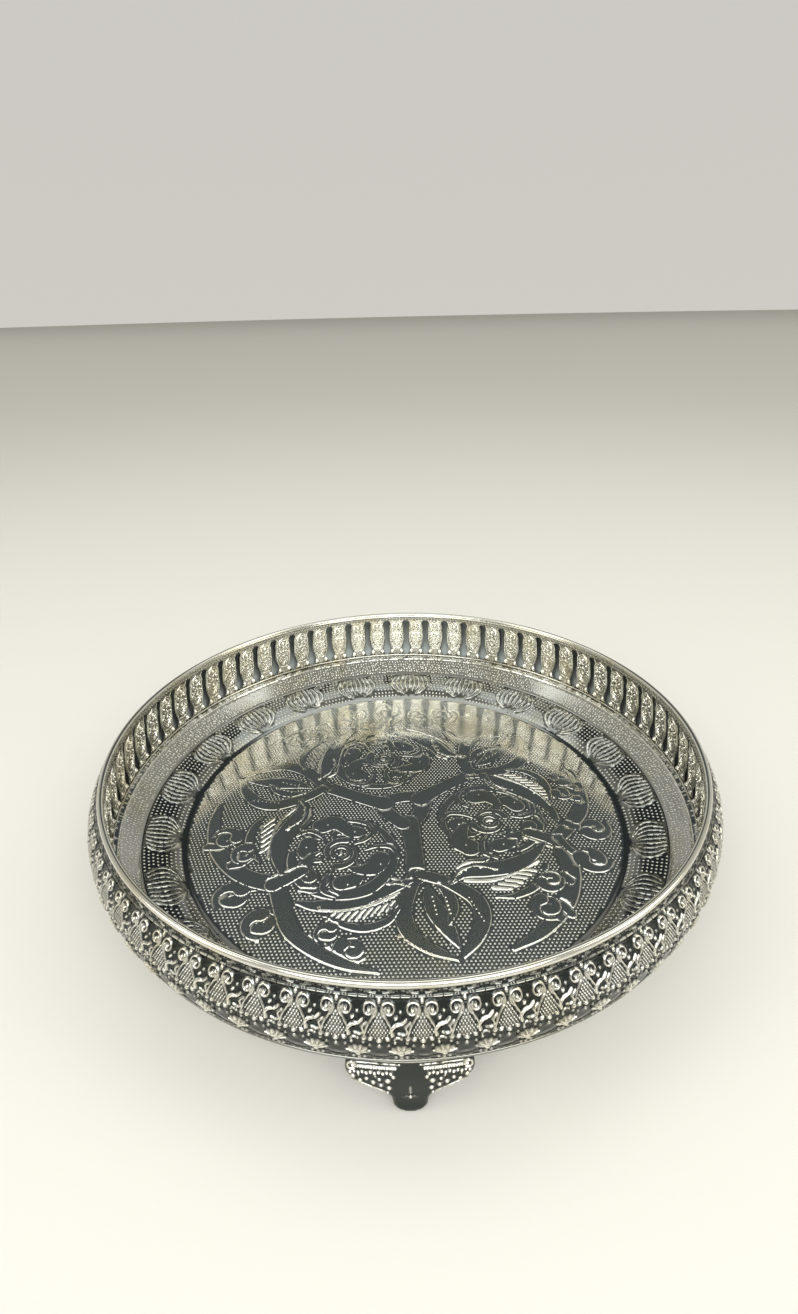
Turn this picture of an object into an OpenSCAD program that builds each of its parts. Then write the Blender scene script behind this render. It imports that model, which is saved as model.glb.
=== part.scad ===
// Round footed gallery tray: stamped plate, pierced gallery, embossed apron, cast feet.
// Millimetres, +Z up, feet standing on Z = 0, foot_1 pointing to -Y.

/* [Plate] */
// Outer diameter of the rim moulding
rim_d = 300; // [290:1:310]
// Height of the rim above the table
tray_h = 65; // [63:0.5:68]
// Diameter of the flat floor
floor_d = 237.2; // [228:0.1:242]
// Diameter of the ring line between shell band and border
ring_d = 276.4; // [272:0.1:280]
// Sheet thickness of the plate
plate_t = 0.8; // [0.7:0.05:1.0]

/* [Gallery] */
// Number of balusters in the pierced band
baluster_n = 67; // [48:1:72]
// Sheet thickness of the pierced band
gallery_t = 0.8; // [0.6:0.05:0.9]

/* [Apron] */
// Number of embossed motifs round the apron
motif_n = 67; // [48:1:72]
// Largest radial swell of the apron beyond the rim
apron_swell = 7.2; // [6:0.1:8]
// Sheet thickness of the apron
apron_t = 0.6; // [0.5:0.05:0.6]

/* [Feet] */
// Number of feet
foot_n = 3; // [3:1:3]
// Width of a foot across its wings
foot_w = 46; // [42:0.5:50]
// Width of the smooth tab of a foot
tab_w = 13.4; // [12:0.1:15]

/* [Hidden] */

$fn = 96;
silver = [0.80, 0.79, 0.74];
silver_dark = [0.62, 0.62, 0.58];

// Stations of the plate, measured down from the rim
rim_r = rim_d / 2;
floor_r = floor_d / 2;
ring_r = ring_d / 2;
floor_z = tray_h - 53.1;
ring_z = tray_h - 44.3;
lip_z = tray_h - 34.8;
lip_in_r = rim_r + 0.6;
lip_out_r = rim_r + 2.0;
break_r = floor_r + 9.8;
break_z = floor_z + 5.9;
bead_r = 0.45;
groove_w = 1.1;
groove_d = 0.35;

// Gallery stations: inner face as [radius beyond rim, height above lip]
gal_face = [[0.4, 0], [0.75, 4], [0.7, 9], [0.3, 14], [-0.3, 19], [-1.1, 24],
            [-1.9, 28.5], [-2.5, 31.4], [-2.6, 33.2]];
gap_z = 1.1;
gap_h = 28.2;
gap_deg = 2.49;

// Rim moulding stations
rim_w = 3;
rim_h = 3.3;

// Apron stations: outer face as [share of the swell, height below the rim top]
apron_face = [[-0.10, 1.8], [0.02, 3.6], [0.24, 5.6], [0.50, 8.4], [0.76, 12],
              [0.95, 16.5], [1.00, 21], [0.93, 26], [0.75, 30.6], [0.36, 35.8]];
motif_deg = 3.03;
drop_r = 4.4;
drop_rise = 1.1;
drop_z = tray_h - 16.6;
blob_r = 3.0;
blob_rise = 1.2;
blob_z = tray_h - 26.2;
drop_face_r = rim_r + 6.55;
blob_face_r = rim_r + 6.55;
drop_tilt = 17;
blob_tilt = -9;
flange_t = 0.5;
edge_wire_r = 0.55;

// Foot stations
foot_top_z = lip_z - plate_t - flange_t;
foot_face_r = rim_r + 1.9;
foot_t = 2.6;
lug_t = 2;
lug_deg = 17;
lug_in_r = ring_r + 1.6;
rivet_r = 1.25;
rivet_head_r = 2.3;
rivet_head_h = 0.7;
rivet_deg = 5.6;
rivet_at_r = ring_r + 6.2;

// Height of the top surface of the border cone at radius r
function border_z(r) = ring_z + (r - ring_r) * (lip_z - ring_z) / (lip_in_r - ring_r);
border_deg = atan((lip_z - ring_z) / (lip_in_r - ring_r));

module plate_blank() {
    top = [[0, floor_z], [floor_r, floor_z], [floor_r + 0.5, floor_z + 0.5],
           [floor_r + 1.1, floor_z + 0.55], [break_r - 3, break_z - 1.6],
           [break_r, break_z - 0.35], [break_r + 3, break_z + 0.5],
           [ring_r - groove_w / 2, ring_z - 0.1],
           [ring_r, ring_z - groove_d], [ring_r + groove_w / 2, ring_z + 0.25],
           [lip_in_r, lip_z], [lip_out_r, lip_z]];
    n = len(top);
    under = [for (i = [n - 1 : -1 : 0]) [top[i][0], top[i][1] - plate_t]];
    rotate_extrude() polygon(concat(top, under));
}

module tray_plate() {
    color(silver_dark) difference() {
        plate_blank();
        for (k = [0 : foot_n - 1]) foot_turn(k) rivet_pair() rivet_shape();
    }
}

module gallery_band() {
    color(silver) difference() {
        gallery_blank();
        for (i = [0 : baluster_n - 1])
            rotate([0, 0, gap_deg + i * 360 / baluster_n])
                rotate([90, 0, 90]) translate([0, 0, rim_r - 8])
                    linear_extrude(14) translate([0, lip_z + gap_z]) gap_outline();
    }
}

// Opening between two balusters, as half-widths up its height
module gap_outline() {
    k = 67 / baluster_n;
    half = [[1.75, 0], [1.85, 1.2], [2.75, 2.6], [3.1, 4.2], [2.9, 5.8], [2.2, 8.2],
            [1.7, 10.8], [1.5, 13.2], [1.55, 15.8], [1.75, 18.4], [1.75, 20.8],
            [1.7, 22.8], [2.0, 24.4], [2.45, 25.9], [2.0, 27.3], [1.0, gap_h]];
    n = len(half);
    polygon(concat([for (p = half) [p[0] * k, p[1]]],
                   [for (i = [n - 1 : -1 : 0]) [-half[i][0] * k, half[i][1]]]));
}

module gallery_base_wire() {
    color(silver) rotate_extrude()
        translate([rim_r + 0.4 - bead_r, lip_z + bead_r + 0.05]) circle(bead_r);
}

module rim_moulding() {
    top_n = 10;
    arch = [for (i = [0 : top_n]) [rim_r - rim_w / 2 + rim_w / 2 * cos(i * 180 / top_n),
                                   tray_h - rim_w / 2 + rim_w / 2 * sin(i * 180 / top_n)]];
    inner_top = gal_face[len(gal_face) - 1];
    color(silver) difference() {
        rotate_extrude() polygon(concat(
            [[rim_r - rim_w, tray_h - rim_h], [rim_r, tray_h - rim_h]], arch));
        gallery_blank();
        apron_blank();
    }
}

// Unpierced solids of the two strips, used to cut their seats in the rim
module gallery_blank() {
    n = len(gal_face);
    inner = [for (p = gal_face) [rim_r + p[0], lip_z + p[1]]];
    outer = [for (i = [n - 1 : -1 : 0]) [inner[i][0] + gallery_t, inner[i][1]]];
    rotate_extrude() polygon(concat(inner, outer));
}

module apron_blank() {
    n = len(apron_face);
    outer = [for (p = apron_face) [rim_r + p[0] * apron_swell, tray_h - p[1]]];
    inner = [for (i = [n - 1 : -1 : 0]) [outer[i][0] - apron_t, outer[i][1]]];
    rotate_extrude() polygon(concat(outer, inner));
}

// Domed round boss standing out along +X, sunk by seat
module boss(r, rise, seat) {
    dome_r = (r * r + rise * rise) / (2 * rise);
    rotate([0, 90, 0]) rotate_extrude() intersection() {
        translate([0, rise - dome_r]) circle(dome_r);
        translate([0, -seat]) square([r, rise + seat]);
    }
}

module apron_band() {
    foot_x = rim_r + apron_face[len(apron_face) - 1][0] * apron_swell;
    color(silver) union() {
        apron_blank();
        rotate_extrude() translate([lip_in_r + 0.3, lip_z - plate_t - flange_t])
            square([foot_x - lip_in_r - 0.3, flange_t]);
        for (i = [0 : motif_n - 1]) rotate([0, 0, motif_deg + i * 360 / motif_n]) {
            translate([drop_face_r, 0, drop_z]) rotate([0, -drop_tilt, 0])
                boss(drop_r, drop_rise, 0.3);
            rotate([0, 0, 180 / motif_n]) translate([blob_face_r, 0, blob_z])
                rotate([0, -blob_tilt, 0]) boss(blob_r, blob_rise, 0.3);
        }
    }
}

module apron_edge_wire() {
    p = apron_face[len(apron_face) - 1];
    color(silver) rotate_extrude() difference() {
        translate([rim_r + p[0] * apron_swell + edge_wire_r * 0.5, tray_h - p[1] + 0.4])
            circle(edge_wire_r);
        translate([rim_r + p[0] * apron_swell - 2, tray_h - p[1] - 2]) square([2, 6]);
    }
}

module foot_turn(k) {
    rotate([0, 0, k * 360 / foot_n - 90]) children();
}

// Both rivet places of one foot, square to the border cone, origin on its top surface
module rivet_pair() {
    for (s = [-1, 1]) rotate([0, 0, s * rivet_deg])
        translate([rivet_at_r, 0, border_z(rivet_at_r)])
            rotate([0, -border_deg, 0]) children();
}

// Shank with a flush countersunk head upwards and a round head below
module rivet_shape() {
    low = -(plate_t + lug_t) * cos(border_deg);
    rotate_extrude() polygon([[0, 0], [rivet_head_r, 0], [rivet_r, -rivet_head_h],
        [rivet_r, low], [rivet_head_r, low], [rivet_head_r * 0.8, low - rivet_head_h],
        [0, low - rivet_head_h * 1.4]]);
}

// Front outline of a foot: tangential across, height up
module foot_outline() {
    h = foot_top_z;
    w = foot_w / 2;
    t = tab_w / 2;
    right = [[t * 0.62, 0.9], [t * 0.9, 3.2], [t * 0.96, 5.6], [t * 1.08, 8.2], [t * 1.44, 10.4],
             [w * 0.565, h - 16.5], [w * 0.78, h - 13.5], [w * 0.94, h - 10.7],
             [w, h - 7.7], [w, h - 4.3], [w * 0.957, h - 1.5], [w * 0.86, h]];
    n = len(right);
    polygon(concat([[-t * 0.28, 0], [t * 0.28, 0]], right,
                   [for (i = [n - 1 : -1 : 0]) [-right[i][0], right[i][1]]]));
}

// Side section of a foot: radius across, height up
module foot_side() {
    h = foot_top_z;
    f = foot_face_r;
    face = [[f, h], [f + 0.6, h - 4], [f + 1.2, h - 9], [f + 1.4, h - 14], [f + 1.5, h - 19],
            [f + 1.8, h - 24], [f + 2.2, h - 27], [f + 2.2, 0]];
    n = len(face);
    polygon(concat(face, [for (i = [n - 1 : -1 : 0])
        [face[i][0] - foot_t - (i < 3 ? 0 : 0.5), face[i][1]]]));
}

module foot_casting(k) {
    color(silver) foot_turn(k) difference() {
        union() {
            intersection() {
                rotate([0, 0, -12]) rotate_extrude(angle = 24) foot_side();
                rotate([90, 0, 90]) linear_extrude(rim_r + 10) foot_outline();
            }
            rotate([0, 0, -lug_deg / 2]) rotate_extrude(angle = lug_deg) polygon([
                [lug_in_r, border_z(lug_in_r) - plate_t],
                [lip_in_r - 1.2, border_z(lip_in_r - 1.2) - plate_t],
                [lip_in_r - 1.2, foot_top_z - lug_t],
                [lug_in_r, border_z(lug_in_r) - plate_t - lug_t]]);
        }
        plate_blank();
        rivet_pair() rivet_shape();
    }
}

module foot_1() { foot_casting(0); }
module foot_2() { foot_casting(1); }
module foot_3() { foot_casting(2); }

module foot_rivets(k) {
    color(silver_dark) foot_turn(k) rivet_pair() rivet_shape();
}

module foot_rivets_1() { foot_rivets(0); }
module foot_rivets_2() { foot_rivets(1); }
module foot_rivets_3() { foot_rivets(2); }

tray_plate();
gallery_band();
gallery_base_wire();
rim_moulding();
apron_band();
apron_edge_wire();
foot_1();
foot_2();
foot_3();
foot_rivets_1();
foot_rivets_2();
foot_rivets_3();
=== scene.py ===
import math

import bpy
import numpy as np
from mathutils import Matrix, Vector
from mathutils.geometry import delaunay_2d_cdt


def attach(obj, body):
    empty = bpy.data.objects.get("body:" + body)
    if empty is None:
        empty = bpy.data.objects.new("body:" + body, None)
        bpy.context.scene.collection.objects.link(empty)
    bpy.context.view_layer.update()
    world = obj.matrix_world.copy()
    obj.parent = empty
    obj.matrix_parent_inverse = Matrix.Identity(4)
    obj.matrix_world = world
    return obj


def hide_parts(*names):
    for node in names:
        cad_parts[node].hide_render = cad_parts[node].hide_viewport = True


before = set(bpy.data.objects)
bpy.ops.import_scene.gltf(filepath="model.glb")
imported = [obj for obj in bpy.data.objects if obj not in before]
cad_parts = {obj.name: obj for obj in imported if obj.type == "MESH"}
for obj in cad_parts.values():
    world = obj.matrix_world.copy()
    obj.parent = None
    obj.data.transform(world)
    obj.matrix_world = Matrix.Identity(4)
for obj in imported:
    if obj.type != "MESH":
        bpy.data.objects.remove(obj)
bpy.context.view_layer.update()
MM = 0.001
PI = math.pi
joined = np.concatenate

# ---- camera, light and floor

CAM_F = 0.51503044                # focal length as a share of the frame's long side
CAM_BACK, CAM_UP = 0.29599, 0.26329
CAM_PITCH, CAM_ROLL, CAM_YAW = math.radians(27.75), math.radians(-1.33), math.radians(-0.20)


def add_camera():
    data = bpy.data.cameras.new("camera")
    data.lens = 36.0 * CAM_F
    data.sensor_width = 36.0
    data.clip_start = 0.01
    cam = bpy.data.objects.new("camera", data)
    bpy.context.scene.collection.objects.link(cam)
    turn = Matrix.Rotation(-CAM_YAW, 4, "Z") @ Matrix.Rotation(PI / 2 - CAM_PITCH, 4, "X")
    at = Matrix.Translation((0, -CAM_BACK, CAM_UP))
    cam.matrix_world = at @ turn @ Matrix.Rotation(CAM_ROLL, 4, "Z")
    bpy.context.scene.camera = cam


def area_light(name, at, toward, size, glow, colour):
    """A soft rectangular lamp of a stated brightness, so its reflections don't change with its size."""
    data = bpy.data.lights.new(name, "AREA")
    data.shape = "RECTANGLE"
    data.size, data.size_y = size
    data.energy = glow * PI * size[0] * size[1]
    data.color = colour
    lamp = bpy.data.objects.new(name, data)
    bpy.context.scene.collection.objects.link(lamp)
    lamp.location = at
    aim = Vector(toward) - Vector(at)
    lamp.rotation_euler = aim.to_track_quat("-Z", "Y").to_euler()
    return lamp


def add_node(tree, kind, inputs, out, **setup):
    """The named output of a new node, whose inputs are values or other nodes' outputs."""
    n = tree.nodes.new("ShaderNode" + kind)
    for key, value in setup.items():
        setattr(n, key, value)
    for key, value in inputs.items():
        if isinstance(value, bpy.types.NodeSocket):
            tree.links.new(value, n.inputs[key])
        else:
            n.inputs[key].default_value = value
    return n.outputs[out]


def map_range(tree, value, lo, hi, to_lo=0.0, to_hi=1.0, **setup):
    inputs = {"Value": value, "From Min": lo, "From Max": hi, "To Min": to_lo, "To Max": to_hi}
    return add_node(tree, "MapRange", inputs, "Result", **setup)


def mix_colours(tree, factor, a, b, **setup):
    return add_node(tree, "Mix", {"Factor": factor, "A": a, "B": b}, "Result", data_type="RGBA", **setup)


CREAM_STOPS = ((0.0, (0.62, 0.60, 0.56, 1)), (0.30, (0.60, 0.585, 0.55, 1)), (0.45, (0.52, 0.51, 0.45, 1)),
               (1.0, (0.46, 0.455, 0.40, 1)))
DARK_PATCH = (0.074, 0.086, 0.088, 1)


def add_world():
    """Cream surroundings with one dark grey-green patch, behind the tray and part way up."""
    world = bpy.data.worlds.new("studio")
    bpy.context.scene.world = world
    world.use_nodes = True
    tree = world.node_tree
    where = add_node(tree, "TexCoord", {}, "Generated")
    split = tree.nodes.new("ShaderNodeSeparateXYZ")
    tree.links.new(where, split.inputs[0])
    x, y, z = split.outputs
    aside = add_node(tree, "Math", {0: x}, 0, operation="ABSOLUTE")
    patch = None
    for value, lo, hi in ((aside, 0.50, 0.26), (y, 0.05, 0.2), (z, 0.34, 0.46), (z, 0.90, 0.83)):
        edge = map_range(tree, value, lo, hi, interpolation_type="SMOOTHSTEP")
        patch = add_node(tree, "Math", {0: patch, 1: edge}, 0, operation="MULTIPLY") if patch else edge
    ramp = tree.nodes.new("ShaderNodeValToRGB")
    tree.links.new(z, ramp.inputs[0])
    stops = ramp.color_ramp.elements
    stops[0].color, stops[1].color = CREAM_STOPS[0][1], CREAM_STOPS[-1][1]
    for at, colour in CREAM_STOPS[1:-1]:
        stops.new(at).color = colour
    sky = tree.nodes["Background"]
    tree.links.new(mix_colours(tree, patch, ramp.outputs[0], DARK_PATCH), sky.inputs["Color"])
    sky.inputs["Strength"].default_value = 1.0


add_camera()
add_world()
area_light("key_overhead", (0.0, 0.42, 1.25), (0, 0.05, 0.03), (1.5, 0.55), 1.3, (0.98, 1.0, 0.965))
area_light("fill_left", (-1.0, -0.35, 0.75), (0, 0, 0.04), (0.5, 0.9), 2.4, (1.0, 0.98, 0.90))
area_light("fill_right", (1.05, -0.25, 0.7), (0, 0, 0.04), (0.5, 0.9), 2.4, (1.0, 0.97, 0.88))
area_light("front_strip", (0.05, -1.1, 1.0), (0, 0, 0.04), (1.8, 0.8), 4.0, (0.97, 0.995, 1.0))
wash = area_light("floor_wash", (0.0, 0.0, 6.0), (0, 0, 0), (16.0, 16.0), 0.5, (1.0, 0.99, 0.97))
wash.visible_glossy = False
bpy.context.scene.view_settings.view_transform = "Standard"

# ---- mesh helpers


def smooth_curve(points, step=1.0):
    """A Catmull-Rom curve through points of any width, resampled at about step mm."""
    p = np.array(points, float)
    ext = np.vstack([2 * p[0] - p[1], p, 2 * p[-1] - p[-2]])
    out = []
    for i in range(len(p) - 1):
        a, b, c, d = ext[i:i + 4]
        n = max(2, int(np.hypot(*(c - b)[:2]) / step))
        t = (np.arange(n) / n)[:, None]
        out.append(0.5 * (2 * b + (c - a) * t + (2 * a - 5 * b + 4 * c - d) * t ** 2
                          + (3 * b - a - 3 * c + d) * t ** 3))
    out.append(p[-1:])
    return joined(out)


def build(name, verts, faces, material, replaces, relief=None, normals=None):
    """A mesh object from arrays in millimetres, riding on the part's one body."""
    n, k = faces.shape
    me = bpy.data.meshes.new(name)
    me.vertices.add(len(verts))
    me.vertices.foreach_set("co", (verts * MM).astype(np.float32).ravel())
    me.loops.add(n * k)
    me.loops.foreach_set("vertex_index", faces.astype(np.int32).ravel())
    me.polygons.add(n)
    me.polygons.foreach_set("loop_start", np.arange(0, n * k, k, dtype=np.int32))
    me.polygons.foreach_set("loop_total", np.full(n, k, np.int32))
    me.update(calc_edges=True)
    me.validate(clean_customdata=False)
    me.shade_smooth()
    if relief is not None:
        me.attributes.new("relief", "FLOAT", "POINT").data.foreach_set("value", relief.astype(np.float32))
    if normals is not None:
        me.normals_split_custom_set_from_vertices(normals.tolist())
    ob = bpy.data.objects.new(name, me)
    bpy.context.scene.collection.objects.link(ob)
    me.materials.append(material)
    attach(ob, "root")
    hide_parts(*replaces)


def even_turns(count, shift=0.0):
    """Angles evenly round a circle, moved on by a share of one step."""
    return (np.arange(count) + shift) * 2 * PI / count


def circle(r, turns):
    return np.c_[r * np.cos(turns), r * np.sin(turns)]


def polar(r, degrees, x=0.0, y=0.0):
    """The point at a distance and an angle from x, y."""
    a = math.radians(degrees)
    return x + r * math.cos(a), y + r * math.sin(a)


def arc(cx, cy, r, a0, a1, n=9):
    return [polar(r, a, cx, cy) for a in np.linspace(a0, a1, n)]


def turned_z(rows, degrees):
    """Points or directions turned about the tray's axis."""
    c, s = polar(1.0, degrees)
    return rows @ np.array([[c, s, 0], [-s, c, 0], [0, 0, 1]])


def wire(name, section, node, wobble, shade=1.0):
    """A closed ring from an anticlockwise section of [radius, height] rows, with a hand-made wobble."""
    count = 420
    th = even_turns(count)
    r = section[:, :1] + wobble * (np.sin(3 * th + 0.7) + 0.6 * np.sin(7 * th + 2.1))
    v = np.stack([r * np.cos(th), r * np.sin(th), section[:, 1:] + 0 * r], -1).reshape(-1, 3)
    row, col = np.arange(len(section))[:, None] * count, np.arange(count)
    up, on = np.roll(row, -1, 0), np.roll(col, -1)
    f = np.stack([up + col, up + on, row + on, row + col], -1).reshape(-1, 4)
    build(name, v, f, M_WIRE, (node,), np.full(len(v), shade))


def triangulate(points, loops=()):
    """Delaunay triangles over points, by their indexes, that keep the stated runs of edges."""
    edges = [(a, b) for run in loops for a, b in zip(run[:-1], run[1:])]
    _, _, faces, source, _, _ = delaunay_2d_cdt([Vector(q) for q in points.tolist()], edges, [], 0, 1e-5)
    src = np.array([min(s) if s else -1 for s in source], int)
    f = src[np.array([list(t) for t in faces], int)]
    f = f[(f >= 0).all(1)]
    ab, ac = points[f[:, 1]] - points[f[:, 0]], points[f[:, 2]] - points[f[:, 0]]
    area = ab[:, 0] * ac[:, 1] - ac[:, 0] * ab[:, 1]
    f[area < 0] = f[area < 0][:, ::-1]
    return f[np.abs(area) > 1e-7]


def quads(a, b, c, d):
    """Both triangles of each four-sided patch."""
    return joined([np.c_[a, b, c], np.c_[a, c, d]])


def clear_of(points, others, cell):
    """Which points lie in a square cell that holds none of the others."""
    taken = set(map(tuple, np.round(others / cell).astype(int).tolist()))
    return np.array([tuple(q) not in taken for q in np.round(points / cell).astype(int).tolist()], bool)


def thinned(xy, cell):
    """The first point in each square cell."""
    key = np.round(xy / cell).astype(np.int64)
    _, first = np.unique(key[:, 0] * 1000003 + key[:, 1], return_index=True)
    return xy[np.sort(first)]


# ---- relief maps

LINE_ROWS = (0.0, -0.55, 0.55, -1.1, 1.1)        # mesh rows along a line, in half widths off its middle
BAND_RISE, BAND_EDGE = 0.14, 0.5  # height of a band and width of its rounded side, in mm
BAND_GROOVE = 0.9                 # how far a band sinks what it crosses, as a share of its height


def directions(curve):
    """Unit tangents and left normals of a polyline."""
    t = np.gradient(curve, axis=0)
    t /= np.maximum(np.hypot(t[:, 0], t[:, 1]), 1e-9)[:, None]
    return t, np.stack([-t[:, 1], t[:, 0]], 1)


def off_segment(x, y, a, b):
    """Distance of points from the segment from a to b, and the nearest spot's share of its length."""
    d = b - a
    t = np.clip(((x - a[0]) * d[0] + (y - a[1]) * d[1]) / max(d @ d, 1e-9), 0, 1)
    return np.hypot(x - a[0] - t * d[0], y - a[1] - t * d[1]), t


class Relief:
    """A height map in mm over a rectangle, drawn with bands, lines and bumps.
    plain is 1 where the sheet is left smooth and 0 where the stippled ground may go."""

    def __init__(self, x0, x1, y0, y1, step):
        self.x0, self.y0, self.y1, self.step = x0, y0, y1, step
        self.nx, self.ny = int((x1 - x0) / step) + 1, int((y1 - y0) / step) + 1
        self.h, self.plain = np.zeros((2, self.ny, self.nx))
        self.edges = []

    def window(self, lo, hi):
        """The map's slices over a box, with the x and y of their cells."""
        spans = []
        for k, (start, count) in enumerate(((self.x0, self.nx), (self.y0, self.ny))):
            a = min(count, max(0, int((lo[k] - start) / self.step)))
            b = max(a, min(count, int((hi[k] - start) / self.step) + 2))
            spans.append((slice(a, b), start + np.arange(a, b) * self.step))
        (across, x), (up, y) = spans
        return (up, across), x[None, :], y[:, None]

    def distance(self, curve, half):
        """Distance to a polyline less its half width there, in the window round it."""
        pad = half.max() + 1.5
        win, x, y = self.window(curve.min(0) - pad, curve.max(0) + pad)
        best = np.full((y.shape[0], x.shape[1]), 1e9)
        if best.size == 0:
            return win, best
        for a, b, wa, wb in zip(curve[:-1], curve[1:], half[:-1], half[1:]):
            s, t = off_segment(x, y, a, b)
            best = np.minimum(best, s - (wa + (wb - wa) * t))
        return win, best

    def band(self, points):
        """A raised smooth band through rows of [x, y, half width], cut in where it crosses others."""
        c = smooth_curve(points, 1.2)
        c[:, 2] = np.maximum(c[:, 2], 0.05)
        win, s = self.distance(c[:, :2], c[:, 2])
        t = np.clip(-s / BAND_EDGE, 0, 1)
        inside = BAND_RISE * t * t * (3 - 2 * t)
        outside = self.h[win] * (1 - BAND_GROOVE * np.exp(-(np.clip(s, 0, None) / BAND_EDGE) ** 2))
        self.h[win] = np.where(s < 0, inside, outside)
        self.plain[win][s < 0.25] = 1
        tangent, normal = directions(c[:, :2])
        for off in (0.35, 0.0, -0.25, -0.5, -0.85):
            for way in (-1, 1):
                self.edges.append(c[:, :2] + way * normal * (c[:, 2:3] + off))
            for end, way in ((0, -1), (-1, 1)):
                reach = c[end, 2] + off
                if c[end, 2] > 1.2:
                    t = np.linspace(0.1, PI - 0.1, max(3, int(PI * reach / 1.0)))[:, None]
                    round_end = np.cos(t) * normal[end] + way * np.sin(t) * tangent[end]
                    self.edges.append(c[end, :2] + reach * round_end)

    def line(self, points, half=0.5, rise=0.4, clear=0.5, under=None):
        """A raised line through rows of [x, y], level, or following the heights under it."""
        c = smooth_curve(points, 1.0)[:, :2]
        win, s = self.distance(c, np.full(len(c), half))
        d = np.clip(s + half, 0, None) / half
        base = self.at(self.h, c[:, 0], c[:, 1]).mean()
        top = np.clip(1 - d ** 2, 0, None)
        top = (base + rise) * top if under is None else under[win] + rise * top
        self.h[win] = np.maximum(self.h[win], top)
        self.plain[win][s < clear] = 1
        tangent, normal = directions(c)
        for off in LINE_ROWS:
            self.edges.append(c + off * half * normal)
        across = np.array([[0.0], [0.6], [-0.6]])
        for end, way in ((0, -1.1), (-1, 1.1)):
            self.edges.append(c[end] + half * (way * tangent[end] + across * normal[end]))

    def ring(self, r, half, rise):
        """A raised wire line on the circle of radius r round the origin."""
        _, x, y = self.window((self.x0, self.y0), (1e3, 1e3))
        d = np.abs(np.hypot(x, y) - r) / half
        self.h = np.maximum(self.h, rise * np.clip(1 - d ** 2, 0, None))
        self.plain[d < 2] = 1
        for off in LINE_ROWS:
            self.edges.append(circle(r + off * half, even_turns(900)))

    def bump(self, x, y, radius, rise, squash=1.0, turn=0.0, power=1.0):
        """A raised boss, round or oval: radius along its turned x axis, squash times that across."""
        win, gx, gy = self.window((x - radius, y - radius), (x + radius, y + radius))
        ca, sa = polar(1.0, turn)
        u, v = (gx - x) * ca + (gy - y) * sa, (gy - y) * ca - (gx - x) * sa
        d2 = (u ** 2 + (v / squash) ** 2) / radius ** 2
        dome = np.clip(1 - d2, 0, None) ** power
        self.h[win] = np.maximum(self.h[win], rise * dome)
        self.plain[win][d2 < 1.2] = 1
        for share in (0.0, 0.45, 0.8, 1.08):
            u, v = (circle(radius * share, even_turns(8)[:8 if share else 1]) * [1, squash]).T
            self.edges.append(np.c_[x + u * ca - v * sa, y + u * sa + v * ca])

    def at(self, field, x, y):
        u = np.clip((np.asarray(x) - self.x0) / self.step, 0, self.nx - 1.001)
        v = np.clip((np.asarray(y) - self.y0) / self.step, 0, self.ny - 1.001)
        i, j = u.astype(int), v.astype(int)
        fu, fv = u - i, v - j
        return ((field[j, i] * (1 - fu) + field[j, i + 1] * fu) * (1 - fv)
                + (field[j + 1, i] * (1 - fu) + field[j + 1, i + 1] * fu) * fv)

    def slopes(self, x, y):
        gy, gx = np.gradient(self.h, self.step)
        return self.at(gx, x, y), self.at(gy, x, y)


class Pen:
    """Draws on a relief from a moved origin, mirrored where side is -1."""

    def __init__(self, m, u0=0.0, z0=0.0, side=1):
        self.m, self.u0, self.z0, self.side = m, u0, z0, side

    def line(self, points, half, rise):
        self.m.line([(self.u0 + self.side * u, self.z0 + z) for u, z in points], half, rise)

    def bumps(self, *rows):
        """Bosses, each given by its place, radius and rise, then squash, turn and power if wanted."""
        for u, z, radius, rise, *more in rows:
            squash, turn, power = (*more, *(1.0, 0.0, 1.0)[len(more):])
            self.m.bump(self.u0 + self.side * u, self.z0 + z, radius, rise, squash, self.side * turn, power)


def turned(points, degrees):
    """Rows of [x, y, anything more] turned about the origin."""
    c, s = polar(1.0, degrees)
    return [(x * c - y * s, x * s + y * c, *more) for x, y, *more in points]


# ---- silver

TARNISH = (0.90, 0.86, 0.74, 1)
BACK = -1.0                       # relief value that marks the rear faces of a strip, which are rougher and painted a flat grey, a painted shade


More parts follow.
